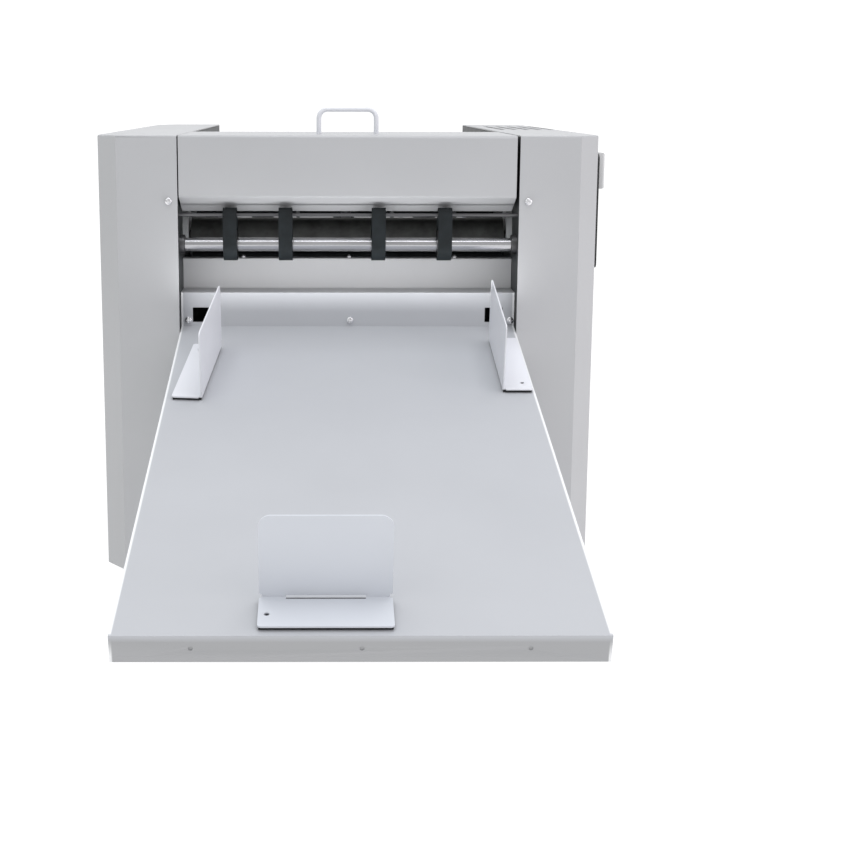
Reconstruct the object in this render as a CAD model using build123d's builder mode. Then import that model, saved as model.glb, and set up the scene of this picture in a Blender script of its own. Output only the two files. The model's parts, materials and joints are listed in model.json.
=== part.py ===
"""Desktop sheet-fed digital die cutting machine, delivery side facing -Y.

Millimetres. +X is the operator's right when facing the delivery tray, +Y runs back through
the machine to the feed deck, +Z is up. The origin is on the underside of the base pan, at the
centre of the body, between the four holes that bolt the machine down; the feet reach below it.
"""
from build123d import *
import math
import os

os.makedirs("parts", exist_ok=True)

# ---- driving dimensions -------------------------------------------------------------------
body_width = 560.0
body_depth = 700.0
foot_height = 14.0
casing_height = 496.0
top = casing_height                     # upper face of the casings and of the cover
front = -body_depth / 2                 # front plane of the casings
back = body_depth / 2
shell = 1.5                             # sheet steel of the covers
bevel_x, bevel_y = 24.0, 31.0           # slanted corner between casing front and outer wall
half_gap = 189.0                        # inner edge of each casing front
vent_x0, vent_pitch, vent_width = 205.5, 16.0, 7.0    # vent slots in the right casing's top
half_middle = 187.0                     # half width of the feed deck, clear of the side frames
cover_x0, cover_x1 = -187.6, 185.6      # the cover sits a little to the left in its gap
panel_half = 189.2                      # front panel, just inside the side frames
tray_half = 188.6                       # tray, which passes out between the casings
frame_x, frame_thick = 189.5, 4.0       # inner face and thickness of the side frames
frame_out = frame_x + frame_thick
floor_z = 2.0                           # upper face of the base pan
foot_x, foot_y = 232.0, 300.0           # centres of the feet
bolt_x, bolt_y, bolt_r = 180.0, 280.0, 3.3  # holes that bolt the base to a stand

journal = 5.0                           # radius of every driven shaft's journal
fit = 0.04                              # radial clearance of a running fit
bearing_r, bearing_flange_r = 9.5, 11.0

exit_y, exit_z, exit_r = front + 25, 374.2, 7.5       # bright delivery shaft
idler_y, idler_z, idler_r = front + 14.5, 408.0, 2.0  # thin rod above it
wheel_r, idler_roller_r, belt_thick, belt_width = 16.2, 6.5, 1.5, 15.5
belt_slack = 0.3                        # wheel to belt clearance
belt_xs = (-132.0, -70.0, 34.0, 108.0)
pull_y, pull_z, pull_r = front + 85, 380.0, 20.0      # dark rubber drum
pinch_r = 8.0
pinch_z = pull_z - pull_r - pinch_r - 0.4
roller_half = 180.5                     # half length of the pull and pinch rollers
end_block_x, end_block_thick = 183.0, 6.5
shaft_half = 183.0                      # half length of the delivery shaft's thick part
exit_bush = 6.0                         # how far its bushes stand in from the side frames
sheet_z = pull_z - pull_r               # plane of the travelling sheet
grit_y, grit_r = front + 235, 8.0
grit_z = sheet_z - grit_r - 0.3
press_z = sheet_z + grit_r + 0.3        # axle of the pinch wheels over the grit roller
press_xs = (-120.0, 0.0, 120.0)
press_arm_xs = (-140.0, -60.0, 60.0, 140.0)
pickup_y, pickup_r = front + 395, 22.0
pickup_z = sheet_z + pickup_r + 0.2
pickup_xs = (-110.0, 0.0, 110.0)
motor_y, motor_z, motor_size = front + 130, 286.0, 57.0
belt_x0, belt_x1 = 199.0, 207.0         # side drive belt
exit_pulley_r, pull_pulley_r, motor_pulley_r = 12.0, 14.0, 10.0

beam_y0, beam_y1, beam_z0, beam_z1 = front + 222, front + 252, 411.0, 451.0
rail_depth, rail_z0, rail_z1 = 8.0, 426.0, 436.0
tool_y = front + 184                    # blade line, over the cutting strip
head_pulley_x, head_pulley_z, head_pulley_r = 166.0, 466.0, 9.0
head_pulley_y0, head_pulley_y1 = front + 231, front + 241

cover_depth, cover_fold_z, cover_lip_y, cover_lip_z = 190.0, 428.5, front + 40, 410.5
pivot_y, pivot_z, pivot_r = front + 182, 486.0, 4.0
handle_width, handle_height, handle_rod_r, handle_y = 71.5, 30.5, 2.8, front + 85

ledge_z, ledge_y = 320.0, front + 61    # recessed plate above the tray
apron_y = front + 22                    # front panel that carries the tray
plate_top_z = 355.0
tray_slope = 12.7
tray_length, tray_lip, tray_round = 638.5, 23.0, 3.0
tray_bend_z = 282.4
deck_y0, deck_y1, deck_z = front + 270, front + 692, sheet_z - 2.0
window_x, window_w, window_z0, window_z1 = 165.5, 20.5, 286.3, 303.0
lip_screw_xs, lip_screw_z = (-180.5, 2.5, 184.0), 288.5
casing_screw_x, casing_screw_z = 199.0, 424.0
plate_screw_xs, plate_screw_y = (-120.0, 2.0, 124.0), front + 67   # on the plate's rear edge
frame_window, frame_window_z = 68.0, 116.0   # wiring windows of the side frames
frame_window_ys = (front + 330, front + 520)
guide_width, guide_length, guide_height = 31.0, 142.0, 70.5
stop_width, stop_depth, stop_height = 103.5, 43.5, 72.5
rocker_y, rocker_z, rocker_pin_r = back - 6, 87.0, 1.5   # pivot of the power switch

tray_plane = Plane(
    origin=(0, apron_y, tray_bend_z),
    x_dir=(1, 0, 0),
    z_dir=(0, -math.sin(math.radians(tray_slope)), math.cos(math.radians(tray_slope))),
)


# ---- helpers ------------------------------------------------------------------------------
def save(piece, name):
    """Label a finished piece and write its STEP file."""
    piece.label = name
    export_step(piece, f"parts/{name}.step")


def block(x0, x1, y0, y1, z0, z1, mode=Mode.ADD):
    """Box between two corners, joined to the part being built."""
    with Locations(((x0 + x1) / 2, (y0 + y1) / 2, (z0 + z1) / 2)):
        Box(x1 - x0, y1 - y0, z1 - z0, mode=mode)


def rod_x(radius, x0, x1, y, z, mode=Mode.ADD):
    """Round bar or bore along X."""
    with Locations(Location(((x0 + x1) / 2, y, z), (0, 90, 0))):
        Cylinder(radius, x1 - x0, mode=mode)


def rod_y(radius, y0, y1, x, z, mode=Mode.ADD):
    """Round bar or bore along Y."""
    with Locations(Location((x, (y0 + y1) / 2, z), (90, 0, 0))):
        Cylinder(radius, y1 - y0, mode=mode)


def rod_z(radius, z0, z1, x, y, mode=Mode.ADD):
    """Round bar or bore along Z."""
    with Locations((x, y, (z0 + z1) / 2)):
        Cylinder(radius, z1 - z0, mode=mode)


def folded_sheet(points, side, x0, x1, radius):
    """Bent sheet that runs from x0 to x1, from the outline of its outer face in YZ."""
    with BuildPart() as sheet:
        with BuildSketch(Plane.YZ.offset(x0)):
            with BuildLine():
                FilletPolyline(*points, radius=radius)
                offset(amount=shell, side=side)
            make_face()
        extrude(amount=x1 - x0)
    return sheet.part


def belt_loop(circles, x0, x1):
    """Flat belt pulled round circles given as (y, z, radius of the belt's inner face)."""
    with BuildPart() as loop:
        with BuildSketch(Plane.YZ.offset(x0)):
            for y, z, r in circles:
                with Locations((y, z)):
                    Circle(r + belt_thick)
            make_hull()
        extrude(amount=x1 - x0)
        with BuildSketch(Plane.YZ.offset(x0)):
            for y, z, r in circles:
                with Locations((y, z)):
                    Circle(r)
            make_hull()
        extrude(amount=x1 - x0, mode=Mode.SUBTRACT)
    return loop.part


def pan_screw_y(x, y, z):
    """Pan-head screw whose head stands out towards -Y from a face at y."""
    rod_y(4.0, y - 2.6, y, x, z)
    rod_y(1.9, y, y + 8, x, z)
    block(x - 3, x + 3, y - 2.6, y - 1.5, z - 0.6, z + 0.6, mode=Mode.SUBTRACT)
    block(x - 0.6, x + 0.6, y - 2.6, y - 1.5, z - 3, z + 3, mode=Mode.SUBTRACT)


def footprint(inset, side_x=None):
    """Corner points of the body in plan, pulled in by a margin, or of one casing from side_x."""
    x, cx = body_width / 2 - inset, body_width / 2 - bevel_x - 0.5 * inset
    y0, y1 = front + inset, front + bevel_y + 0.4 * inset
    x_in = -x if side_x is None else side_x
    if side_x is None:
        return [(-cx, y0), (cx, y0), (x, y1), (x, -y1), (cx, -y0), (-cx, -y0), (-x, -y1), (-x, y1)]
    return [(x_in, y0), (cx, y0), (x, y1), (x, -y1), (cx, -y0), (x_in, -y0)]


# ---- base, feet and side frames -----------------------------------------------------------
with BuildPart() as base_pan:
    with BuildSketch(Plane.XY):
        Polygon(*footprint(2.2), align=None)
    extrude(amount=2.0)
    for x in (-277.5, 275.5):
        block(x, x + 2, front + 45, back - 45, floor_z, floor_z + 15)
    for sx in (-1, 1):
        for sy in (-1, 1):
            rod_z(3.0, -1, floor_z + 1, sx * foot_x, sy * foot_y, mode=Mode.SUBTRACT)
            rod_z(bolt_r, -1, floor_z + 1, sx * bolt_x, sy * bolt_y, mode=Mode.SUBTRACT)
save(base_pan.part, "base_pan")

with BuildPart() as rubber_feet:
    for sx in (-1, 1):
        for sy in (-1, 1):
            x, y = sx * foot_x, sy * foot_y
            with Locations((x, y, 0)):
                Cone(15, 18, foot_height, align=(Align.CENTER, Align.CENTER, Align.MAX))
            rod_z(2.95, 0, floor_z + 4, x, y)
            rod_z(4.5, -foot_height - 1, 4 - foot_height, x, y, mode=Mode.SUBTRACT)
save(rubber_feet.part, "rubber_feet")


def side_frame(hand):
    """Steel plate that carries every shaft; hand is -1 for the left one and 1 for the right."""
    x0, x1 = sorted((hand * frame_x, hand * frame_out))
    with BuildPart() as plate:
        block(x0, x1, front + 2, back - 2, floor_z, top - 2)
        for y, z in ((exit_y, exit_z), (pull_y, pull_z), (grit_y, grit_z), (pickup_y, pickup_z)):
            rod_x(bearing_r, x0 - 1, x1 + 1, y, z, mode=Mode.SUBTRACT)
        rod_x(idler_r + fit, x0 - 1, x1 + 1, idler_y, idler_z, mode=Mode.SUBTRACT)
        rod_x(4.0 + fit, x0 - 1, x1 + 1, pull_y, pinch_z, mode=Mode.SUBTRACT)
        rod_x(pivot_r + fit, x0 - 1, x1 + 1, pivot_y, pivot_z, mode=Mode.SUBTRACT)
        if hand > 0:
            rod_x(19.3, x0 - 1, x1 + 1, motor_y, motor_z, mode=Mode.SUBTRACT)
        with BuildSketch(Plane.YZ.offset(x0)):
            for y in frame_window_ys:
                with Locations((y, frame_window_z)):
                    RectangleRounded(frame_window, frame_window, 8)
        extrude(amount=frame_thick, mode=Mode.SUBTRACT)
        fillet(plate.edges().filter_by(Axis.X).group_by(Axis.Z)[-1], 12)
    return plate.part


save(side_frame(-1), "left_side_frame")
save(side_frame(1), "right_side_frame")


# ---- casings ------------------------------------------------------------------------------
def casing_shell():
    """Right-hand casing as a bent shell, open below and towards the side frame."""
    with BuildPart() as hull:
        with BuildSketch(Plane.XY):
            Polygon(*footprint(0, half_gap), align=None)
        extrude(amount=casing_height)
        fillet(hull.edges().filter_by(Axis.Z).group_by(Axis.X)[-1], 3)
        fillet(hull.faces().sort_by(Axis.Z)[-1].edges().filter_by(
            lambda e: e.center().X > half_gap + 1), 2)
        with BuildSketch(Plane.XY):
            Polygon(*footprint(shell, half_gap - 1), align=None)
        extrude(amount=casing_height - shell, mode=Mode.SUBTRACT)
    return hull.part


with BuildPart() as right_casing:
    add(casing_shell())
    for k in range(5):                  # long vent slots side by side in the top
        vent_x = vent_x0 + vent_pitch * k
        block(vent_x, vent_x + vent_width, front + 330, front + 560, top - 5, top + 1,
              mode=Mode.SUBTRACT)
    for k in range(9):                  # louvres low on the outer wall
        block(270, 290, 60 + 16 * k, 66 + 16 * k, 56, 136, mode=Mode.SUBTRACT)
    block(228, 252, back - 5, back + 5, 56, 72, mode=Mode.SUBTRACT)
    rod_y(2.0, front - 1, front + 5, casing_screw_x, casing_screw_z, mode=Mode.SUBTRACT)
save(right_casing.part, "right_casing")

with BuildPart() as left_casing:
    add(mirror(casing_shell(), about=Plane.YZ, mode=Mode.PRIVATE))
    for k in range(9):
        block(-290, -270, 60 + 16 * k, 66 + 16 * k, 56, 136, mode=Mode.SUBTRACT)
    block(-249, -221, back - 5, back + 5, 36, 58, mode=Mode.SUBTRACT)
    block(-244.6, -225.4, back - 5, back + 5, 74.4, 99.9, mode=Mode.SUBTRACT)
    rod_y(2.0, front - 1, front + 5, -casing_screw_x, casing_screw_z, mode=Mode.SUBTRACT)
save(left_casing.part, "left_casing")

# ---- hinged cover -------------------------------------------------------------------------
with BuildPart() as front_cover:
    add(folded_sheet([(front + cover_depth, top), (front, top), (front, cover_fold_z),
                      (cover_lip_y, cover_lip_z)], Side.LEFT, cover_x0, cover_x1, 3.5))
    for x in (cover_x0, cover_x1 - shell):
        with BuildSketch(Plane.YZ.offset(x)):
            Polygon((front + cover_depth - 2, top - 1), (front + 1, top - 4),
                    (front + 1, cover_fold_z + 1), (cover_lip_y - 1, cover_lip_z + 1),
                    (front + 110, 464), (front + cover_depth - 2, 474), align=None)
        extrude(amount=shell)
    for x in (cover_x0, cover_x1 - 5.5):
        rod_x(9, x, x + 5.5, pivot_y, pivot_z)
        rod_x(pivot_r + fit, x - 1, x + 7, pivot_y, pivot_z, mode=Mode.SUBTRACT)
save(front_cover.part, "front_cover")

with BuildPart() as cover_hinge_pins:
    for hand in (-1, 1):
        rod_x(pivot_r, *sorted((hand * 180, hand * (frame_out + 3))), pivot_y, pivot_z)
        rod_x(7, *sorted((hand * frame_out, hand * (frame_out + 3))), pivot_y, pivot_z)
save(cover_hinge_pins.part, "cover_hinge_pins")

with BuildPart() as cover_handle:
    with BuildLine(Plane.XZ.offset(-handle_y)) as handle_path:
        reach = handle_width / 2 - handle_rod_r
        crest = top + handle_height - handle_rod_r
        FilletPolyline((-reach, top), (-reach, crest), (reach, crest), (reach, top), radius=10)
    with BuildSketch(Plane.XY.offset(top)):
        with Locations((-reach, handle_y)):
            Circle(handle_rod_r)
    sweep(path=handle_path.wires()[0])
save(cover_handle.part, "cover_handle")

# ---- apron, delivery tray and its stops ---------------------------------------------------
with BuildPart() as lower_front_panel:
    add(folded_sheet([(front + 75, plate_top_z), (ledge_y, plate_top_z), (ledge_y, ledge_z),
                      (apron_y, ledge_z), (apron_y, floor_z), (apron_y + 25, floor_z)],
                     Side.LEFT, -panel_half, panel_half, 1.6))
    for x in (-window_x, window_x):
        block(x - window_w / 2, x + window_w / 2, apron_y - 2, apron_y + 3, window_z0, window_z1,
              mode=Mode.SUBTRACT)
    for x in lip_screw_xs:
        rod_y(2.0, apron_y - 2, apron_y + 3, x, lip_screw_z, mode=Mode.SUBTRACT)
    for x in plate_screw_xs:
        rod_z(1.5, plate_top_z - 3, plate_top_z + 1, x, plate_screw_y, mode=Mode.SUBTRACT)
save(lower_front_panel.part, "lower_front_panel")

with BuildPart() as delivery_tray:
    with BuildSketch(tray_plane):
        with Locations((0, -tray_length / 2)):
            Rectangle(2 * tray_half, tray_length)
    extrude(amount=-tray_lip)
    tray_top = delivery_tray.faces().sort_by(Axis.Z)[-1]
    fillet(tray_top.edges().sort_by(Axis.Y)[:3], tray_round)     # front and both long edges
    with BuildSketch(tray_plane.offset(-shell)):
        with Locations((0, -tray_length / 2 + 10)):
            Rectangle(2 * (tray_half - shell), tray_length + 20 - 2 * shell)
    extrude(amount=-tray_lip, mode=Mode.SUBTRACT)
    block(-tray_half, tray_half, apron_y - shell, apron_y, tray_bend_z - 1.2, ledge_z)
    block(-200, 200, apron_y, apron_y + 12, tray_bend_z - 40, ledge_z + 5, mode=Mode.SUBTRACT)
    for x in (-window_x, window_x):
        block(x - window_w / 2, x + window_w / 2, apron_y - 3, apron_y + 1, window_z0, window_z1,
              mode=Mode.SUBTRACT)
    for x in lip_screw_xs:
        rod_y(2.0, apron_y - 3, apron_y + 1, x, lip_screw_z, mode=Mode.SUBTRACT)
    for x in (-127.5, 1, 127.5):        # small dimples in the front lip
        with Locations(tray_plane.location * Location((x, -tray_length, -11), (90, 0, 0))):
            Cylinder(1.8, 1.8, mode=Mode.SUBTRACT)
save(delivery_tray.part, "delivery_tray")

with BuildPart() as tray_gussets:
    for x in (-141, 139):
        with BuildSketch(Plane.YZ.offset(x)):
            slope = math.tan(math.radians(tray_slope))
            under = tray_bend_z - (shell + 0.1) / math.cos(math.radians(tray_slope))
            reach = 210
            Polygon((apron_y, under), (apron_y - reach, under - reach * slope),
                    (apron_y - reach, under - reach * slope - 12), (apron_y, under - 120),
                    align=None)
        extrude(amount=2)
save(tray_gussets.part, "tray_gussets")


def side_guide(hole_y):
    """L-shaped sheet guide in its own frame: foot along Y, upright on its +X edge."""
    with BuildPart() as guide:
        block(0, guide_width, 0, guide_length, 0, shell)
        block(guide_width - shell, guide_width, 0, guide_length, 0, guide_height)
        fillet(guide.edges().filter_by(Axis.X).group_by(Axis.Z)[-1], 4)
        fillet(guide.edges().filter_by(Axis.Z).group_by(Axis.X)[0], 3)
        for y in (-0.5, guide_length - 2):      # bend reliefs
            block(guide_width - 3.5, guide_width + 1, y, y + 2.5, -1, 7, mode=Mode.SUBTRACT)
        rod_z(2.2, -1, 3, 9, hole_y, mode=Mode.SUBTRACT)
    return guide.part


def guide_magnet():
    """Magnetic pad under a side guide, in the guide's frame."""
    with BuildPart() as pad:
        block(1, guide_width - 1, 1.5, guide_length - 1.5, -2.5, 0)
    return pad.part


pad_lift = 2.8                          # foot of a guide above the tray: magnet and clearance
left_seat = tray_plane.location * Location((-181, -208, pad_lift), (0, 0, -4.6))
right_seat = tray_plane.location * Location((186, -190.5, pad_lift))
save(left_seat * side_guide(guide_length - 17), "left_guide")
save(left_seat * guide_magnet(), "left_guide_magnet")
save(right_seat * mirror(side_guide(17), about=Plane.YZ), "right_guide")
save(right_seat * mirror(guide_magnet(), about=Plane.YZ), "right_guide_magnet")

stop_seat = tray_plane.location * Location((-26, -632, pad_lift))
stop_half = stop_width / 2
with BuildPart() as stop_blank:
    block(-stop_half, stop_half, 0, stop_depth, 0, shell)
    block(-stop_half, stop_half, stop_depth - shell, stop_depth, 0, stop_height)
    fillet(stop_blank.edges().filter_by(Axis.Y).group_by(Axis.Z)[-1], 10)
    fillet(stop_blank.edges().filter_by(Axis.Z).group_by(Axis.Y)[0], 3)
    block(-31, 31, stop_depth - 4.5, stop_depth + 1, -1, 3, mode=Mode.SUBTRACT)
    for x in (-stop_half - 0.5, stop_half - 2):
        block(x, x + 2.5, stop_depth - 3, stop_depth + 1, -1, 4, mode=Mode.SUBTRACT)
    rod_z(2.2, -1, 3, -45, 17, mode=Mode.SUBTRACT)
save(stop_seat * stop_blank.part, "end_stop")
with BuildPart() as stop_pad:
    block(1 - stop_half, stop_half - 1, 1.5, stop_depth - 0.6, -2.5, 0)
save(stop_seat * stop_pad.part, "end_stop_magnet")

with BuildPart() as panel_screws:
    for x in (-casing_screw_x, casing_screw_x):
        pan_screw_y(x, front, casing_screw_z)
    for x in lip_screw_xs:
        pan_screw_y(x, apron_y - shell, lip_screw_z)
    for x in plate_screw_xs:
        rod_z(3.0, plate_top_z, plate_top_z + 3, x, plate_screw_y)
        rod_z(1.45, plate_top_z - 8, plate_top_z, x, plate_screw_y)
save(panel_screws.part, "panel_screws")

# ---- delivery shaft, belts and rollers ----------------------------------------------------
with BuildPart() as exit_shaft:
    rod_x(exit_r, -shaft_half, shaft_half, exit_y, exit_z)
    rod_x(journal, -196, belt_x1 + 3, exit_y, exit_z)
    rod_x(exit_pulley_r, belt_x0 - 0.5, belt_x1 + 0.5, exit_y, exit_z)
save(exit_shaft.part, "exit_shaft")

with BuildPart() as exit_wheels:
    for x in belt_xs:
        rod_x(wheel_r, x - 7, x + 7, exit_y, exit_z)
        rod_x(exit_r, x - 8, x + 8, exit_y, exit_z, mode=Mode.SUBTRACT)
save(exit_wheels.part, "exit_wheels")

with BuildPart() as idler_rod:
    rod_x(idler_r, -193, 193, idler_y, idler_z)
    for x in belt_xs:
        rod_x(idler_roller_r, x - 7, x + 7, idler_y, idler_z)
save(idler_rod.part, "idler_rod")

with BuildPart() as delivery_belts:
    for x in belt_xs:
        add(belt_loop([(exit_y, exit_z, wheel_r + belt_slack),
                       (idler_y, idler_z, idler_roller_r + belt_slack)],
                      x - belt_width / 2, x + belt_width / 2))
save(delivery_belts.part, "delivery_belts")

with BuildPart() as pull_roller:
    rod_x(pull_r, -roller_half, roller_half, pull_y, pull_z)
    rod_x(journal, -196, belt_x1 + 3, pull_y, pull_z)
    rod_x(pull_pulley_r, belt_x0 - 0.5, belt_x1 + 0.5, pull_y, pull_z)
save(pull_roller.part, "pull_roller")

with BuildPart() as roller_end_blocks:
    for hand in (-1, 1):
        x0, x1 = sorted((hand * end_block_x, hand * (end_block_x + end_block_thick)))
        with BuildSketch(Plane.YZ.offset(x0)):
            Polygon((pull_y - 21, pull_z - 14), (pull_y + 21, pull_z - 14),
                    (pull_y + 21, pull_z + 22), (pull_y + 12, pull_z + 30),
                    (pull_y - 12, pull_z + 30), (pull_y - 21, pull_z + 22), align=None)
        extrude(amount=x1 - x0)
        rod_x(journal + 0.4, x0 - 1, x1 + 1, pull_y, pull_z, mode=Mode.SUBTRACT)
save(roller_end_blocks.part, "roller_end_blocks")

with BuildPart() as pinch_roller:
    rod_x(pinch_r, -roller_half, roller_half, pull_y, pinch_z)
    rod_x(4.0, -193, 193, pull_y, pinch_z)
save(pinch_roller.part, "pinch_roller")

with BuildPart() as shaft_bearings:
    for hand in (-1, 1):
        for y, z, inside in ((exit_y, exit_z, True), (pull_y, pull_z, False),
                             (grit_y, grit_z, False), (pickup_y, pickup_z, False)):
            rod_x(bearing_r, *sorted((hand * frame_x, hand * frame_out)), y, z)
            rim = (frame_x - exit_bush, frame_x) if inside else (frame_out, frame_out + 3)
            rod_x(bearing_flange_r, *sorted((hand * rim[0], hand * rim[1])), y, z)
            rod_x(journal + fit, *sorted((hand * 180, hand * 200)), y, z, mode=Mode.SUBTRACT)
save(shaft_bearings.part, "shaft_bearings")

with BuildPart() as main_motor:
    block(frame_x - 56, frame_x, motor_y - motor_size / 2, motor_y + motor_size / 2,
          motor_z - motor_size / 2, motor_z + motor_size / 2)
    chamfer(main_motor.edges().filter_by(Axis.X), 5)
    rod_x(19, frame_x, frame_x + 2, motor_y, motor_z)
save(main_motor.part, "main_motor")

with BuildPart() as main_motor_pulley:
    rod_x(4, frame_x + 2.2, belt_x1 + 3, motor_y, motor_z)
    rod_x(motor_pulley_r, belt_x0 - 0.5, belt_x1 + 0.5, motor_y, motor_z)
save(main_motor_pulley.part, "main_motor_pulley")

save(belt_loop([(exit_y, exit_z, exit_pulley_r + belt_slack),
                (pull_y, pull_z, pull_pulley_r + belt_slack),
                (motor_y, motor_z, motor_pulley_r + belt_slack)], belt_x0, belt_x1), "drive_belt")

# ---- cutting section ----------------------------------------------------------------------
with BuildPart() as cutting_platen:
    block(-frame_x, frame_x, front + 150, front + 215, 326, sheet_z - 2)
    for y in (front + 156, front + 188):
        block(-frame_x, frame_x, y, y + 21, 331, 350, mode=Mode.SUBTRACT)
    block(-frame_x, frame_x, tool_y - 6, tool_y + 6, sheet_z - 3, sheet_z, mode=Mode.SUBTRACT)
save(cutting_platen.part, "cutting_platen")

with BuildPart() as cutting_strip:
    block(-180, 180, tool_y - 5.9, tool_y + 5.9, sheet_z - 3, sheet_z - 1)
save(cutting_strip.part, "cutting_strip")


def direct_motor(y, z, size, x0, x1):
    """Gear motor in the left casing, on four posts, with a socket for the shaft it turns."""
    with BuildPart() as motor:
        block(x0, x1, y - size / 2, y + size / 2, z - size / 2, z + size / 2)
        chamfer(motor.edges().filter_by(Axis.X), 4)
        for sy in (-1, 1):
            for sz in (-1, 1):
                rod_x(3, x1, -frame_out, y + sy * (size / 2 - 5), z + sz * (size / 2 - 5))
        rod_x(journal + 0.4, x1 - 8, x1 + 1, y, z, mode=Mode.SUBTRACT)
    return motor.part


save(direct_motor(grit_y, grit_z, motor_size, -270, -214), "feed_motor")
save(direct_motor(pickup_y, pickup_z, 50, -258, -214), "pickup_motor")

with BuildPart() as grit_roller:
    rod_x(grit_r, -175, 175, grit_y, grit_z)
    rod_x(journal, -219, 196, grit_y, grit_z)
save(grit_roller.part, "grit_roller")

with BuildPart() as press_axle:
    rod_x(3, -146, 146, grit_y, press_z)
    for x in press_xs:
        rod_x(grit_r, x - 9, x + 9, grit_y, press_z)
save(press_axle.part, "press_axle")

with BuildPart() as press_bar:
    block(-frame_x, frame_x, front + 262, front + 276, 391, 405)
    for x in press_arm_xs:
        with BuildSketch(Plane.YZ.offset(x - 2)):
            Polygon((grit_y - 7, press_z), (grit_y + 5, press_z - 6), (front + 276, 392),
                    (front + 262, 396), align=None)
            with Locations((grit_y, press_z)):
                Circle(7)
        extrude(amount=4)
    rod_x(3 + fit, -150, 150, grit_y, press_z, mode=Mode.SUBTRACT)
save(press_bar.part, "press_bar")

with BuildPart() as carriage_beam:
    block(-frame_x, frame_x, beam_y0, beam_y1, beam_z0, beam_z1)
    block(-frame_x, frame_x, beam_y0 + 3, beam_y1 - 3, beam_z0 + 3, beam_z1 - 3,
          mode=Mode.SUBTRACT)
    block(-head_pulley_x - 12, -head_pulley_x + 12, beam_y1 - 7, beam_y1, beam_z1,
          head_pulley_z + 10)
    rod_y(2.5, head_pulley_y0 - 2, beam_y1 - 7, -head_pulley_x, head_pulley_z)
save(carriage_beam.part, "carriage_beam")

with BuildPart() as carriage_rail:
    block(-180, 180, beam_y0 - rail_depth, beam_y0, rail_z0, rail_z1)
    for z in (rail_z0, rail_z1):        # ball tracks
        rod_x(1.4, -181, 181, beam_y0 - rail_depth / 2, z, mode=Mode.SUBTRACT)
save(carriage_rail.part, "carriage_rail")

with BuildPart() as carriage:
    block(-23, 23, beam_y0 - 24, beam_y0 - 1, beam_z0, beam_z1 - 1)
    block(-24, 24, beam_y0 - rail_depth - 0.3, beam_y0, rail_z0 - 0.3, rail_z1 + 0.3,
          mode=Mode.SUBTRACT)
    block(-12, 12, beam_y0 - 24, head_pulley_y1, beam_z1 + 1, beam_z1 + 4)
    block(-12, 12, beam_y0 - 24, beam_y0 - 16, beam_z1 - 1, beam_z1 + 1)
save(carriage.part, "carriage")

with BuildPart() as tool_slider:
    block(-13, 13, tool_y - 12, beam_y0 - 24.4, 404, 438)
    rod_z(6 + 0.02, 403, 439, 0, tool_y, mode=Mode.SUBTRACT)
    rod_x(3, 13, 21, tool_y, 421)       # clamp screw
    rod_x(6, 21, 26, tool_y, 421)
save(tool_slider.part, "tool_slider")

with BuildPart() as blade_holder:
    rod_z(6, 375, 448, 0, tool_y)
    rod_z(8, 439, 448, 0, tool_y)
    with Locations((0, tool_y, 370.5)):
        Cone(2.2, 6, 9)
    rod_z(0.8, sheet_z + 3.0, 368, 0, tool_y)
save(blade_holder.part, "blade_holder")

with BuildPart() as carriage_motor:
    block(head_pulley_x - 21, head_pulley_x + 21, beam_y1, beam_y1 + 40, head_pulley_z - 21,
          head_pulley_z + 21)
    chamfer(carriage_motor.edges().filter_by(Axis.Y), 4)
save(carriage_motor.part, "carriage_motor")

with BuildPart() as carriage_pulley:
    rod_y(head_pulley_r, head_pulley_y0, head_pulley_y1, head_pulley_x, head_pulley_z)
    rod_y(2.5, head_pulley_y0 - 2, beam_y1 - 0.2, head_pulley_x, head_pulley_z)
save(carriage_pulley.part, "carriage_pulley")

with BuildPart() as carriage_idler:
    rod_y(head_pulley_r, head_pulley_y0, head_pulley_y1, -head_pulley_x, head_pulley_z)
    rod_y(2.5 + fit, head_pulley_y0 - 1, head_pulley_y1 + 1, -head_pulley_x, head_pulley_z,
          mode=Mode.SUBTRACT)
save(carriage_idler.part, "carriage_idler")

with BuildPart() as carriage_belt:
    for grow, mode in ((1.3, Mode.ADD), (0.0, Mode.SUBTRACT)):
        with BuildSketch(Plane.XZ.offset(-head_pulley_y1 + 1)):
            with Locations((0, head_pulley_z)):
                SlotCenterToCenter(2 * head_pulley_x, 2 * (head_pulley_r + belt_slack + grow))
        extrude(amount=head_pulley_y1 - head_pulley_y0 - 2, mode=mode)
save(carriage_belt.part, "carriage_belt")

# ---- sheet feeder -------------------------------------------------------------------------
with BuildPart() as feed_deck:
    add(folded_sheet([(deck_y0, 336), (deck_y0, deck_z), (deck_y1, deck_z), (deck_y1, floor_z),
                      (deck_y1 - 25, floor_z)], Side.RIGHT, -half_middle, half_middle, 2))
    for x in (-90, 90):                 # long air slots in the deck
        block(x - 4, x + 4, deck_y0 + 60, deck_y1 - 60, deck_z - 3, deck_z + 1,
              mode=Mode.SUBTRACT)
save(feed_deck.part, "feed_deck")

with BuildPart() as separator_pad:
    block(-20, 20, pickup_y - 14, pickup_y + 14, deck_z, deck_z + 1.4)
save(separator_pad.part, "separator_pad")

with BuildPart() as pickup_shaft:
    rod_x(journal, -219, 196, pickup_y, pickup_z)
save(pickup_shaft.part, "pickup_shaft")

with BuildPart() as pickup_rollers:
    for x in pickup_xs:
        rod_x(pickup_r, x - 14, x + 14, pickup_y, pickup_z)
        rod_x(journal + fit, x - 15, x + 15, pickup_y, pickup_z, mode=Mode.SUBTRACT)
save(pickup_rollers.part, "pickup_rollers")


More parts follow.
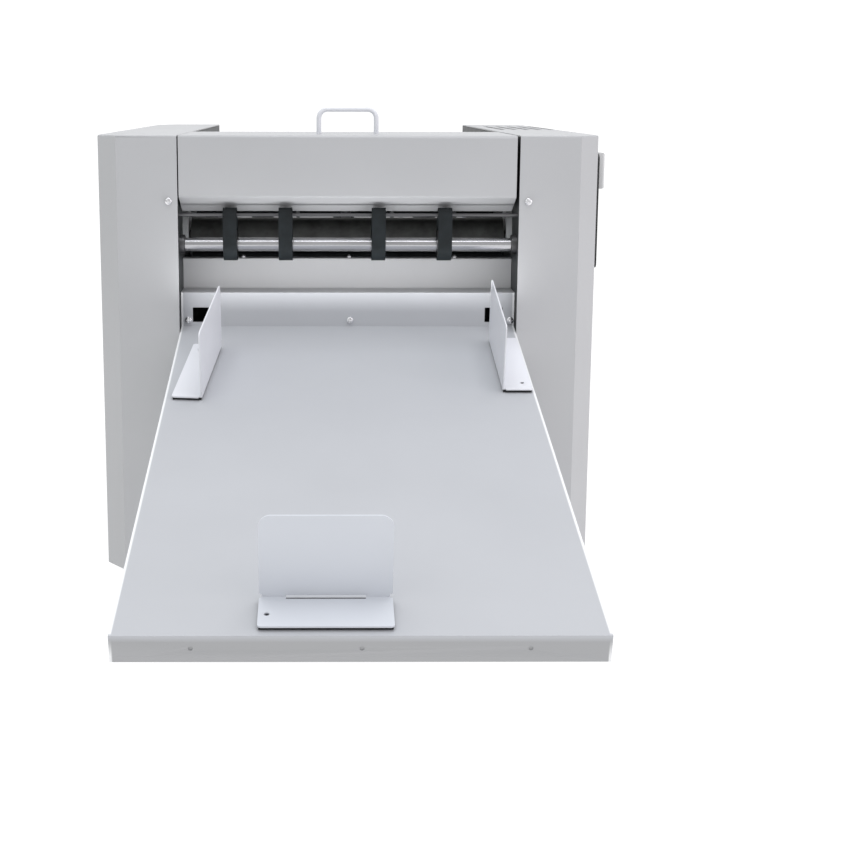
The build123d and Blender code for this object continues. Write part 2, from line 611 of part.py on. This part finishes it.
def feed_guide(hand):
    """Side fence of the paper stack; its upright faces the middle of the deck."""
    with BuildPart() as fence:
        y0, y1, z0 = front + 440, front + 640, deck_z + 0.3
        block(*sorted((hand * 167, hand * 186)), y0, y1, z0, z0 + shell)
        block(*sorted((hand * 167, hand * (167 + shell))), y0, y1, z0, z0 + 60)
        fillet(fence.edges().filter_by(Axis.X).group_by(Axis.Z)[-1], 8)
        rod_z(4, z0 + shell, z0 + 12, hand * 178, front + 540)
        rod_z(6.5, z0 + 12, z0 + 20, hand * 178, front + 540)
    return fence.part


save(feed_guide(-1), "feed_guide_left")
save(feed_guide(1), "feed_guide_right")

# ---- electrics ----------------------------------------------------------------------------
with BuildPart() as power_supply:
    block(-272, -222, front + 300, front + 500, floor_z, floor_z + 110)
    block(-273, -240, front + 299, front + 318, floor_z + 30, floor_z + 111, mode=Mode.SUBTRACT)
save(power_supply.part, "power_supply")

with BuildPart() as control_board:
    block(203, 204.6, front + 330, front + 490, 176, 286)
    for y in (front + 336, front + 484):
        for z in (182, 280):
            rod_x(3, frame_out, 203, y, z)
    block(204.6, 212, front + 380, front + 415, 216, 251)
    for k in range(4):
        block(204.6, 216, front + 425, front + 445, 186 + 24 * k, 202 + 24 * k)
        rod_x(5, 204.6, 220, front + 355, 191 + 24 * k)
save(control_board.part, "control_board")

with BuildPart() as power_inlet:
    block(-254, -216, back, back + 2.5, 32, 104)
    block(-248.9, -221.1, back - 22, back, 36.1, 57.9)
    block(-244.5, -225.5, back - 14, back, 74.5, 99.8)       # housing of the switch
    block(-242.5, -227.5, back - 12, back + 3, 76, 98.3, mode=Mode.SUBTRACT)
    rod_x(rocker_pin_r + fit, -246, -224, rocker_y, rocker_z, mode=Mode.SUBTRACT)
    block(-245, -225, back - 14, back + 3, 40, 54, mode=Mode.SUBTRACT)
    for x in (-241, -235, -229):
        rod_y(1.2, back - 14, back - 2, x, 47)
save(power_inlet.part, "power_inlet")

with BuildPart() as power_switch:
    with BuildSketch(Plane.YZ.offset(-241.5)):
        Polygon((back - 8, rocker_z - 9), (back + 1, rocker_z - 9.5), (back - 0.5, rocker_z),
                (back + 3, rocker_z + 9), (back - 8, rocker_z + 9), align=None)
    extrude(amount=13)
    rod_x(rocker_pin_r, -243.8, -226.2, rocker_y, rocker_z)
save(power_switch.part, "power_switch")

panel_x = body_width / 2
with BuildPart() as side_panel:
    block(panel_x, panel_x + 5.5, front + 50, front + 172, 345, 474)
    fillet(side_panel.edges().filter_by(Axis.X), 6)
    for y in (front + 85, front + 135):
        rod_x(8.3, panel_x + 1.5, panel_x + 6, y, 394, mode=Mode.SUBTRACT)
save(side_panel.part, "side_panel")

with BuildPart() as display_housing:
    block(panel_x + 5.5, panel_x + 13, front + 58, front + 162, 435, 475.5)
    fillet(display_housing.edges().group_by(Axis.X)[-1], 2.5)
    block(panel_x + 12.2, panel_x + 14, front + 68, front + 152, 441, 469.5, mode=Mode.SUBTRACT)
save(display_housing.part, "display_housing")

for name, y in (("start_button", front + 85), ("stop_button", front + 135)):
    with BuildPart() as button:
        rod_x(8, panel_x + 3.8, panel_x + 9, y, 394)
        fillet(button.edges().group_by(Axis.X)[-1], 1)
    save(button.part, name)
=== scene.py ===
"""Looks for the sheet-fed die cutting machine: materials, small parts, studio and camera."""
import json
import math

import bmesh
import bpy
from mathutils import Matrix, Vector


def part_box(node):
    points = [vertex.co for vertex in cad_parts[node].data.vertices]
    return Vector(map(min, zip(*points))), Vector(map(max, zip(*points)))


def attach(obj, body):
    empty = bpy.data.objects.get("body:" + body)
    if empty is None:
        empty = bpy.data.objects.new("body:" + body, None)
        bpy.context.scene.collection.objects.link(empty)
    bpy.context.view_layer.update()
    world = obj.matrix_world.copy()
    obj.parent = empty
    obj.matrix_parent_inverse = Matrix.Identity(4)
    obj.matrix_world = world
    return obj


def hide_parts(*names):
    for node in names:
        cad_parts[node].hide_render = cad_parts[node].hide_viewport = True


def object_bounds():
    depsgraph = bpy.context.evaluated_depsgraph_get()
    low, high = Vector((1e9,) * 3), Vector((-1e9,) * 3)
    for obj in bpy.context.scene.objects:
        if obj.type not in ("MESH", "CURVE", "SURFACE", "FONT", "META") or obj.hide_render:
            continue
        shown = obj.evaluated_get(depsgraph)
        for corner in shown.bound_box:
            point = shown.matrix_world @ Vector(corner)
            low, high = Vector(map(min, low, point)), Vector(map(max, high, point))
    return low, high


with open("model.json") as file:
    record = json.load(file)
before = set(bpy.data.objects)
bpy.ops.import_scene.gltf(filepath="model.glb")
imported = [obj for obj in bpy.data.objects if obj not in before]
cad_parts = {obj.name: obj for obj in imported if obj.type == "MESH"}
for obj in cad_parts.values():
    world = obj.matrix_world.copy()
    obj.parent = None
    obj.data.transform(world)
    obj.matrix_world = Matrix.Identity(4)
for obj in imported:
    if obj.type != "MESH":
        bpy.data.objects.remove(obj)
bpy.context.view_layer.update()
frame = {"nodes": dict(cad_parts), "record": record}

MM = 0.001
SLOT_OF = {s["node"]: s["material_slot"] for s in frame["record"]["subparts"]}


# ---- places, from the frame ---------------------------------------------------------------
class Box:
    """Sizes and corners of one CAD node, in metres."""

    def __init__(self, node):
        self.lo, self.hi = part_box(node)
        self.mid = (self.lo + self.hi) / 2
        self.size = self.hi - self.lo


FRONT = Box("left_casing").lo.y


def islands(node):
    """Lowest and highest corner of each separate solid in a CAD node, in metres."""
    obj = frame["nodes"][node]
    bm = bmesh.new()
    bm.from_mesh(obj.data)
    bm.transform(obj.matrix_world)
    bmesh.ops.remove_doubles(bm, verts=bm.verts, dist=1e-6)
    left, found = set(bm.verts), []
    while left:
        group, edge = set(), [left.pop()]
        while edge:
            vert = edge.pop()
            group.add(vert)
            near = {e.other_vert(vert) for e in vert.link_edges} & left
            left -= near
            edge.extend(near)
        spread = [sorted(v.co[k] for v in group) for k in range(3)]
        found.append((Vector(c[0] for c in spread), Vector(c[-1] for c in spread)))
    bm.free()
    return sorted(found, key=lambda box: (box[0].z, box[0].x))


# ---- materials ----------------------------------------------------------------------------
def new_material(name, color, roughness, metallic=0.0, specular=0.5, coat=0.0, coat_rough=0.3):
    """Principled material with its constants on the shader's own sockets."""
    mat = bpy.data.materials.new(name)
    mat.use_nodes = True
    shader = mat.node_tree.nodes["Principled BSDF"]
    shader.inputs["Base Color"].default_value = (*color, 1)
    shader.inputs["Roughness"].default_value = roughness
    shader.inputs["Metallic"].default_value = metallic
    shader.inputs["Specular IOR Level"].default_value = specular
    shader.inputs["Coat Weight"].default_value = coat
    shader.inputs["Coat Roughness"].default_value = coat_rough
    return mat, shader


def add_node(mat, kind, **settings):
    """New shader node with some of its inputs set by name."""
    node = mat.node_tree.nodes.new(kind)
    for key, value in settings.items():
        node.inputs[key.replace("_", " ")].default_value = value
    return node


def object_coords(mat, scale=(1, 1, 1)):
    """Object coordinates in metres, stretched per axis."""
    coords = mat.node_tree.nodes.new("ShaderNodeTexCoord")
    mapping = mat.node_tree.nodes.new("ShaderNodeMapping")
    mapping.inputs["Scale"].default_value = scale
    mat.node_tree.links.new(coords.outputs["Object"], mapping.inputs["Vector"])
    return mapping.outputs["Vector"]


def noise(mat, scale, detail=3.0, roughness=0.5, stretch=(1, 1, 1)):
    """Noise value in object space; scale is in cycles per metre."""
    tex = add_node(mat, "ShaderNodeTexNoise", Scale=scale, Detail=detail, Roughness=roughness)
    mat.node_tree.links.new(object_coords(mat, stretch), tex.inputs["Vector"])
    return tex.outputs["Fac"]


def ramp(mat, value, low, high, start=0.3, end=0.7):
    """Colour ramp between two colours."""
    node = mat.node_tree.nodes.new("ShaderNodeValToRGB")
    node.color_ramp.elements[0].position = start
    node.color_ramp.elements[1].position = end
    node.color_ramp.elements[0].color = (*low, 1)
    node.color_ramp.elements[1].color = (*high, 1)
    mat.node_tree.links.new(value, node.inputs["Fac"])
    return node.outputs["Color"]


def map_range(mat, value, low, high):
    """Remaps a 0 to 1 value to low to high."""
    node = add_node(mat, "ShaderNodeMapRange", To_Min=low, To_Max=high)
    mat.node_tree.links.new(value, node.inputs["Value"])
    return node.outputs["Result"]


def bump(mat, shader, height, strength, distance):
    """Adds a bump to the shader, after any that is already there."""
    node = add_node(mat, "ShaderNodeBump", Strength=strength, Distance=distance)
    links = mat.node_tree.links
    links.new(height, node.inputs["Height"])
    if shader.inputs["Normal"].is_linked:
        links.new(shader.inputs["Normal"].links[0].from_socket, node.inputs["Normal"])
    links.new(node.outputs["Normal"], shader.inputs["Normal"])


def scaled(color, factor):
    """The colour made lighter or darker, no channel past full."""
    return tuple(min(1.0, c * factor) for c in color)


def powder_coat(name, color, grain=1.0, gloss=0.42):
    """Powder-coated sheet steel: fine orange peel, faint cloudiness, slight sheen changes."""
    mat, shader = new_material(name, color, gloss, specular=0.45)
    links = mat.node_tree.links
    cloud = noise(mat, 6.0, detail=4.0)
    links.new(ramp(mat, cloud, scaled(color, 0.975), scaled(color, 1.02)),
              shader.inputs["Base Color"])
    links.new(map_range(mat, noise(mat, 40.0), gloss - 0.05, gloss + 0.07),
              shader.inputs["Roughness"])
    bump(mat, shader, noise(mat, 420.0, detail=2.0), 0.12 * grain, 0.0004)
    bump(mat, shader, noise(mat, 1500.0, detail=1.0), 0.10 * grain, 0.0001)
    return mat


def turned_steel(name, color, axis=0, rough=0.24):
    """Bright round bar: fine rings round the axis, a few long smears, a little tarnish."""
    mat, shader = new_material(name, color, rough, metallic=1.0)
    links = mat.node_tree.links
    rings = [14.0, 14.0, 14.0]
    rings[axis] = 900.0
    smears = [90.0, 90.0, 90.0]
    smears[axis] = 6.0
    links.new(ramp(mat, noise(mat, 1.0, detail=5.0, stretch=tuple(smears)),
                   scaled(color, 0.78), scaled(color, 1.1)), shader.inputs["Base Color"])
    links.new(map_range(mat, noise(mat, 1.0, stretch=tuple(smears)), rough - 0.07, rough + 0.14),
              shader.inputs["Roughness"])
    bump(mat, shader, noise(mat, 1.0, detail=2.0, stretch=tuple(rings)), 0.15, 0.00005)
    return mat


def rubber(name, color, rough=0.78, weave=0.0):
    """Matte rubber with fine dusting; weave adds the fabric print of a belt."""
    mat, shader = new_material(name, color, rough, specular=0.3)
    links = mat.node_tree.links
    dust = noise(mat, 55.0, detail=6.0, roughness=0.65)
    links.new(ramp(mat, dust, scaled(color, 0.75), scaled(color, 1.9), 0.35, 0.85),
              shader.inputs["Base Color"])
    links.new(map_range(mat, dust, rough - 0.12, min(1.0, rough + 0.1)),
              shader.inputs["Roughness"])
    bump(mat, shader, noise(mat, 1400.0, detail=2.0), 0.25, 0.00015)
    if weave:
        bump(mat, shader, noise(mat, 1.0, detail=0.0, stretch=(2600, 900, 900)), weave, 0.0001)
    return mat


def plastic(name, color, rough=0.45):
    """Moulded plastic with a fine spark-eroded texture."""
    mat, shader = new_material(name, color, rough, specular=0.5)
    links = mat.node_tree.links
    links.new(ramp(mat, noise(mat, 18.0), scaled(color, 0.94), scaled(color, 1.06)),
              shader.inputs["Base Color"])
    links.new(map_range(mat, noise(mat, 120.0), rough - 0.05, rough + 0.08),
              shader.inputs["Roughness"])
    bump(mat, shader, noise(mat, 1100.0, detail=2.0), 0.18, 0.0001)
    return mat


def brushed(name, color, stretch, rough=0.34):
    """Brushed or extruded metal, its lines along the axis that is stretched least."""
    mat, shader = new_material(name, color, rough, metallic=1.0)
    links = mat.node_tree.links
    lines = noise(mat, 1.0, detail=3.0, stretch=stretch)
    links.new(ramp(mat, lines, scaled(color, 0.86), scaled(color, 1.08)),
              shader.inputs["Base Color"])
    links.new(map_range(mat, lines, rough - 0.06, rough + 0.12), shader.inputs["Roughness"])
    bump(mat, shader, lines, 0.12, 0.00006)
    return mat


COAT = (0.455, 0.460, 0.473)
MATERIALS = {
    "powder_coat": powder_coat("powder_coat", COAT),
    "white_coat": powder_coat("white_coat", (0.77, 0.78, 0.82), grain=0.5, gloss=0.36),
    "dark_frame": powder_coat("dark_frame", (0.030, 0.034, 0.036), grain=1.2, gloss=0.5),
    "steel": turned_steel("steel", (0.58, 0.58, 0.60), rough=0.17),
    "zinc_screw": brushed("zinc_screw", (0.82, 0.82, 0.84), (500, 500, 500), 0.22),
    "aluminium": brushed("aluminium", (0.62, 0.63, 0.66), (8, 900, 900)),
    "black_rubber": rubber("black_rubber", (0.016, 0.018, 0.020), weave=0.2),
    "dark_motor": powder_coat("dark_motor", (0.022, 0.022, 0.025), grain=1.5, gloss=0.45),
    "grey_plastic": plastic("grey_plastic", (0.42, 0.43, 0.44)),
    "black_plastic": plastic("black_plastic", (0.018, 0.018, 0.020)),
    "green_board": plastic("green_board", (0.012, 0.09, 0.035), 0.3),
    "magnet_pad": rubber("magnet_pad", (0.022, 0.022, 0.024), 0.7),
    "dark_steel": turned_steel("dark_steel", (0.17, 0.17, 0.175), rough=0.36),
    "black_anodised": brushed("black_anodised", (0.045, 0.047, 0.05), (8, 900, 900), 0.45),
}


def dress(node, material):
    """Gives a CAD node its material, without touching its mesh."""
    slots = frame["nodes"][node].material_slots
    if not slots:
        frame["nodes"][node].data.materials.append(material)
    for slot in slots:
        slot.material = material


def painted_rim_highlight(mat, shader, box, rim, rim_highlight):
    """Lightens a coat along the box's two long edges: a painted highlight where the rounded
    edges catch the light.
    """
    links = mat.node_tree.links
    split = mat.node_tree.nodes.new("ShaderNodeSeparateXYZ")
    links.new(object_coords(mat), split.inputs["Vector"])
    reach = mat.node_tree.nodes.new("ShaderNodeMath")
    reach.operation = "ABSOLUTE"
    links.new(split.outputs["X"], reach.inputs[0])
    edge = add_node(mat, "ShaderNodeMapRange", From_Min=box.hi.x - rim,
                    From_Max=box.hi.x - 0.6 * rim)
    links.new(reach.outputs["Value"], edge.inputs["Value"])
    behind_lip = add_node(mat, "ShaderNodeMapRange", From_Min=box.lo.y + 0.3 * rim,
                          From_Max=box.lo.y + 1.5 * rim)
    links.new(split.outputs["Y"], behind_lip.inputs["Value"])
    both = mat.node_tree.nodes.new("ShaderNodeMath")
    both.operation = "MULTIPLY"
    links.new(edge.outputs["Result"], both.inputs[0])
    links.new(behind_lip.outputs["Result"], both.inputs[1])
    mix = mat.node_tree.nodes.new("ShaderNodeMixRGB")
    links.new(both.outputs["Value"], mix.inputs["Fac"])
    links.new(shader.inputs["Base Color"].links[0].from_socket, mix.inputs["Color1"])
    # painted highlight: this pale colour is mixed in along the two long edges
    mix.inputs["Color2"].default_value = (*rim_highlight, 1)
    links.new(mix.outputs["Color"], shader.inputs["Base Color"])


def tray_coat():
    """Coat of the tray: a painted highlight along its long edges, and painted shade that darkens
    the lip at the front.
    """
    box = Box("delivery_tray")
    mat = powder_coat("tray_coat", (0.488, 0.500, 0.528))
    shader = mat.node_tree.nodes["Principled BSDF"]
    links = mat.node_tree.links
    split = mat.node_tree.nodes.new("ShaderNodeSeparateXYZ")
    links.new(object_coords(mat), split.inputs["Vector"])
    # painted shade: below this height the front lip takes the plain coat darkened to 0.85
    above_painted_lip_shade = add_node(mat, "ShaderNodeMapRange", From_Min=box.lo.z + 17 * MM,
                         From_Max=box.lo.z + 21 * MM)
    links.new(split.outputs["Z"], above_painted_lip_shade.inputs["Value"])
    mix = mat.node_tree.nodes.new("ShaderNodeMixRGB")
    links.new(above_painted_lip_shade.outputs["Result"], mix.inputs["Fac"])
    mix.inputs["Color1"].default_value = (*scaled(COAT, 0.85), 1)
    links.new(shader.inputs["Base Color"].links[0].from_socket, mix.inputs["Color2"])
    links.new(mix.outputs["Color"], shader.inputs["Base Color"])
    # painted highlight, near white, along the tray's long edges
    painted_rim_highlight(mat, shader, box, 2.6 * MM, (0.86, 0.87, 0.88))
    return mat


for node, slot in SLOT_OF.items():
    dress(node, MATERIALS[slot])
dress("power_supply", brushed("galvanised", (0.55, 0.56, 0.57), (60, 60, 60), 0.42))
dress("delivery_tray", tray_coat())
# The recessed lower front panel takes the coat made 5% lighter: painted light that brightens the
# shaded recess.
dress("lower_front_panel", powder_coat("panel_coat_painted_light", scaled(COAT, 1.05)))
dress("delivery_belts", rubber("belt_rubber", (0.0085, 0.0110, 0.0125), 0.7, weave=0.2))
dress("pull_roller", rubber("roller_rubber", (0.034, 0.035, 0.034), 0.5))
dress("display_housing", plastic("display_plastic", (0.58, 0.585, 0.59)))
dress("end_stop", powder_coat("stop_coat", (0.66, 0.685, 0.735), grain=0.5, gloss=0.36))


# ---- sheet metal --------------------------------------------------------------------------
def soften(node, width):
    """Rolls the sheared edges of a sheet-metal node over a little."""
    obj = frame["nodes"][node]
    weld = obj.modifiers.new("weld", "WELD")
    weld.merge_threshold = 1e-6
    flat = obj.modifiers.new("flat", "DECIMATE")
    flat.decimate_type = "DISSOLVE"
    flat.angle_limit = math.radians(0.4)
    bevel = obj.modifiers.new("bevel", "BEVEL")
    bevel.width = width
    bevel.segments = 2
    bevel.limit_method = "ANGLE"
    bevel.angle_limit = math.radians(40)
    bevel.harden_normals = True


for node in ("left_casing", "right_casing", "front_cover", "delivery_tray", "lower_front_panel",
             "left_guide", "right_guide", "end_stop"):
    soften(node, 0.35 * MM)


# ---- small parts --------------------------------------------------------------------------
FLANK = 0.42                    # share of a screw head's height below its dome
THREAD_PITCH = 0.35 * MM        # from one thread ring to the next
REAR_SCREW_INSET = 10 * MM      # from a casing's inner edge to its rear screws
KNOB_X = 178 * MM               # the fence knobs, from the machine's middle plane
KNOB_SEAT = 12.2 * MM           # a knob's underside, above the foot of its fence
KNOB_RADIUS, FLUTE_DEPTH = 7.1, 0.35    # mm
FLUTES = 18


def mesh_object(name, bm, material=None):
    """Object made from bm, linked to the scene, with its material if one is given."""
    mesh = bpy.data.meshes.new(name)
    bm.to_mesh(mesh)
    bm.free()
    obj = bpy.data.objects.new(name, mesh)
    bpy.context.scene.collection.objects.link(obj)
    if material:
        mesh.materials.append(material)
    return obj


def close_rings(bm, rings):
    """Joins rings of as many vertices each into one closed solid, capped at both ends."""
    count = len(rings[0])
    for low, high in zip(rings, rings[1:]):
        for k in range(count):
            j = (k + 1) % count
            bm.faces.new((low[k], low[j], high[j], high[k]))
    bm.faces.new(rings[0][::-1])
    bm.faces.new(rings[-1])


def dome(radius, head):
    """Rings of a pan head's rounded top, above its flank."""
    angles = [math.radians(d) for d in (12, 25, 38, 50, 58, 65, 71, 76, 81, 86)]
    return [(radius * math.cos(a), head * (FLANK + (1 - FLANK) * math.sin(a))) for a in angles]


def turned(bm, place, radii_and_heights, segments=48, recess=0.0):
    """Turned solid along its own +Z from rings of (radius, height), closed at both ends.

    recess pushes a cross-shaped drive that deep into the rings of the last, highest face.
    """
    rings = []
    reach = max(r for r, _ in radii_and_heights) * 0.62
    bar = reach * 0.26
    peak = radii_and_heights[-1][1]
    for radius, height in radii_and_heights:
        ring = []
        for k in range(segments):
            u = radius * math.cos(2 * math.pi * k / segments)
            v = radius * math.sin(2 * math.pi * k / segments)
            in_cross = radius < reach and min(abs(u), abs(v)) < bar and height > peak * 0.5
            ring.append(bm.verts.new(place @ Vector((u, v, height - recess * in_cross))))
        rings.append(ring)
    close_rings(bm, rings)


def make_screws():
    """Domed pan-head screws with a cross drive and a rolled thread."""
    bm = bmesh.new()
    for lo, hi in islands("panel_screws"):
        size, mid = hi - lo, (hi + lo) / 2
        upright = size.z > size.x
        radius = size.x / 2
        head = (3.0 if upright else 2.6) * MM
        length = (size.z if upright else size.y) - head
        shank = (1.45 if upright else 1.9) * MM
        turn = Matrix() if upright else Matrix.Rotation(math.pi / 2, 4, "X")
        seat = Vector((mid.x, mid.y, hi.z - head)) if upright else \
            Vector((mid.x, lo.y + head, mid.z))
        place = Matrix.Translation(seat) @ turn
        turns = int(length / THREAD_PITCH)
        thread = [(shank * (0.80 if k % 2 else 1.0), -length + k * length / turns)
                  for k in range(turns)]
        flank = [(radius * 0.97, 0.0), (radius, 0.12 * MM), (radius, head * FLANK)]
        rings = [(shank * 0.4, -length)] + thread[1:] + flank + dome(radius, head)
        turned(bm, place, rings, recess=1.1 * MM)
    obj = mesh_object("screws", bm, MATERIALS["zinc_screw"])
    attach(obj, "chassis")
    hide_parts("panel_screws")


def make_rear_screws():
    """Screws that hold the back flange of each casing, seen only from behind."""
    bm = bmesh.new()
    radius, head = 4.0 * MM, 2.4 * MM
    for casing, hand in (("left_casing", -1), ("right_casing", 1)):
        box = Box(casing)
        inner = min(abs(box.lo.x), abs(box.hi.x))
        for share in (0.06, 0.50, 0.94):
            seat = Vector((hand * (inner + REAR_SCREW_INSET), box.hi.y,
                           box.lo.z + share * box.size.z))
            place = Matrix.Translation(seat) @ Matrix.Rotation(-math.pi / 2, 4, "X")
            rings = [(radius, 0.0), (radius, head * FLANK)] + dome(radius, head)
            turned(bm, place, rings, recess=1.0 * MM)
    obj = mesh_object("rear_screws", bm, MATERIALS["zinc_screw"])
    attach(obj, "chassis")


def knurled_knobs():
    """Fluted grips round the thumb screws that lock the two paper fences."""
    for node, body in (("feed_guide_left", "left_fence"), ("feed_guide_right", "right_fence")):
        box = Box(node)
        foot_side = 1 if box.mid.x > 0 else -1
        centre = Vector((foot_side * KNOB_X, box.mid.y, 0))
        base = box.lo.z + KNOB_SEAT
        around = FLUTES * 6
        bm = bmesh.new()
        rings = []
        for height, shrink in ((0.0, 0.5), (0.5, 0.0), (6.8, 0.0), (7.4, 0.6)):
            ring = []
            for k in range(around):
                a = 2 * math.pi * k / around
                radius = (KNOB_RADIUS + FLUTE_DEPTH * math.cos(FLUTES * a) - shrink) * MM
                ring.append(bm.verts.new(centre + Vector(
                    (radius * math.cos(a), radius * math.sin(a), base + height * MM))))
            rings.append(ring)
        close_rings(bm, rings)
        obj = mesh_object(node + "_knob", bm, MATERIALS["black_plastic"])
        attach(obj, body)


def rounded_plate(bm, centre, size, corner, rim):
    """Flat plate with rounded corners and a softened rim, its face towards +X."""
    half_y, half_z = size.y / 2, size.z / 2
    outline = []
    for sy, sz, start in ((1, 1, 0), (-1, 1, 90), (-1, -1, 180), (1, -1, 270)):
        for d in range(0, 91, 15):
            a = math.radians(start + d)
            outline.append((sy * (half_y - corner) + corner * math.cos(a),
                            sz * (half_z - corner) + corner * math.sin(a)))
    layers = ((-size.x / 2, 0.0), (size.x / 2 - rim, 0.0), (size.x / 2 - 0.3 * rim, 0.3 * rim),
              (size.x / 2, rim))
    rings = []
    for x, shrink in layers:
        ring = []
        for y, z in outline:
            fy, fz = 1 - shrink / half_y, 1 - shrink / half_z
            ring.append(bm.verts.new(centre + Vector((x, y * fy, z * fz))))
        rings.append(ring)
    close_rings(bm, rings)


def display_glass():
    """Dark glass over the display, faintly lit from behind."""
    mat, shader = new_material("display_glass", (0.010, 0.013, 0.016), 0.08, coat=0.6,
                               coat_rough=0.05)
    links = mat.node_tree.links
    links.new(ramp(mat, noise(mat, 30.0, detail=5.0), (0.006, 0.009, 0.011),
                   (0.016, 0.021, 0.026)), shader.inputs["Base Color"])
    links.new(map_range(mat, noise(mat, 70.0, detail=4.0), 0.05, 0.14),
              shader.inputs["Roughness"])
    housing = Box("display_housing")
    bm = bmesh.new()
    size = Vector((0.5 * MM, housing.size.y - 21 * MM, housing.size.z - 13 * MM))
    centre = Vector((housing.hi.x - 0.5 * MM, housing.mid.y, housing.mid.z))
    rounded_plate(bm, centre, size, 1.0 * MM, 0.12 * MM)
    obj = mesh_object("display_glass", bm, mat)
    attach(obj, "chassis")


make_screws()
make_rear_screws()
knurled_knobs()
display_glass()


# ---- studio -------------------------------------------------------------------------------
def make_floor():
    """Pale seamless floor, curving up into a wall far behind the machine."""
    mat, shader = new_material("studio_white", (0.2, 0.2, 0.2), 0.9, specular=0.0)
    shader.inputs["Emission Color"].default_value = (1, 1, 1, 1)
    shader.inputs["Emission Strength"].default_value = 0.92
    mat.node_tree.links.new(ramp(mat, noise(mat, 1.5), (0.19, 0.19, 0.19), (0.21, 0.21, 0.21)),
                            shader.inputs["Base Color"])
    bm = bmesh.new()
    half, radius, wall_y, wall_z = 6.0, 1.2, 3.0, 5.0
    floor_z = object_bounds()[0].z - 0.0005
    profile = [(-6.0, 0.0), (wall_y - radius, 0.0)]
    steps = 12
    for k in range(1, steps + 1):
        a = math.pi / 2 * k / steps
        profile.append((wall_y - radius + radius * math.sin(a), radius * (1 - math.cos(a))))
    profile.append((wall_y, wall_z))
    rows = [[bm.verts.new((x, y, floor_z + z)) for x in (-half, half)] for y, z in profile]
    for a, b in zip(rows, rows[1:]):
        bm.faces.new((a[0], a[1], b[1], b[0]))
    mesh_object("studio_floor", bm, mat)


def area_light(name, place, target, size, power, color=(1, 1, 1)):
    """Rectangular lamp at place, aimed at target."""
    data = bpy.data.lights.new(name, "AREA")
    data.shape = "RECTANGLE"
    data.size, data.size_y = size
    data.energy = power
    data.color = color
    light = bpy.data.objects.new(name, data)
    light.location = place
    light.rotation_euler = (Vector(target) - Vector(place)).to_track_quat("-Z", "Y").to_euler()
    bpy.context.scene.collection.objects.link(light)
    return light


def make_studio():
    """Floor, four large soft lamps, a strip that fills the recess, and an even pale world."""
    make_floor()
    area_light("key_left", (-1.6, -2.6, 2.2), (0, 0, 0.3), (2.0, 1.6), 9, (0.94, 1.0, 0.98))
    area_light("fill_right", (1.8, -2.4, 1.8), (0, 0, 0.3), (2.0, 1.6), 8, (1.0, 0.95, 1.0))
    area_light("side_right", (2.4, -1.2, 0.6), (0, 0, 0.3), (1.6, 1.0), 13, (1.0, 0.95, 1.0))
    area_light("overhead", (0, -0.7, 3.2), (0, -0.4, 0), (2.4, 2.4), 57, (0.95, 0.97, 1.0))
    recess = Box("lower_front_panel")
    strip = area_light("recess_fill", (0, FRONT - 0.03, recess.hi.z - 0.032),
                       (0, FRONT + 0.015, recess.hi.z + 0.06), (0.34, 0.02), 0.20)
    strip.visible_camera = False
    strip.visible_glossy = False
    world = bpy.data.worlds.new("studio")
    world.use_nodes = True
    world.node_tree.nodes["Background"].inputs["Color"].default_value = (1.0, 1.0, 1.0, 1)
    world.node_tree.nodes["Background"].inputs["Strength"].default_value = 0.55
    bpy.context.scene.world = world
    bpy.context.scene.view_settings.view_transform = "Standard"


# ---- camera -------------------------------------------------------------------------------
def make_camera():
    """A little left of the middle, raised, and looking slightly down."""
    data = bpy.data.cameras.new("camera")
    data.sensor_width = 36
    data.lens = 36 * 1500 / 850
    data.shift_x = 0.108
    data.shift_y = -0.056
    camera = bpy.data.objects.new("camera", data)
    pitch, yaw, roll = math.radians(10.53), math.radians(0.412), math.radians(0.093)
    forward = Vector((math.sin(yaw) * math.cos(pitch), math.cos(yaw) * math.cos(pitch),
                      -math.sin(pitch)))
    right = Vector((math.cos(yaw), -math.sin(yaw), 0))
    up = right.cross(forward)
    turned_right = math.cos(roll) * right + math.sin(roll) * up
    turned_up = math.cos(roll) * up - math.sin(roll) * right
    basis = Matrix((turned_right, turned_up, -forward)).transposed()
    camera.matrix_world = basis.to_4x4()
    camera.location = (-0.0286, FRONT - 1.6648, 0.5358)
    bpy.context.scene.collection.objects.link(camera)
    bpy.context.scene.camera = camera


make_camera()
make_studio()
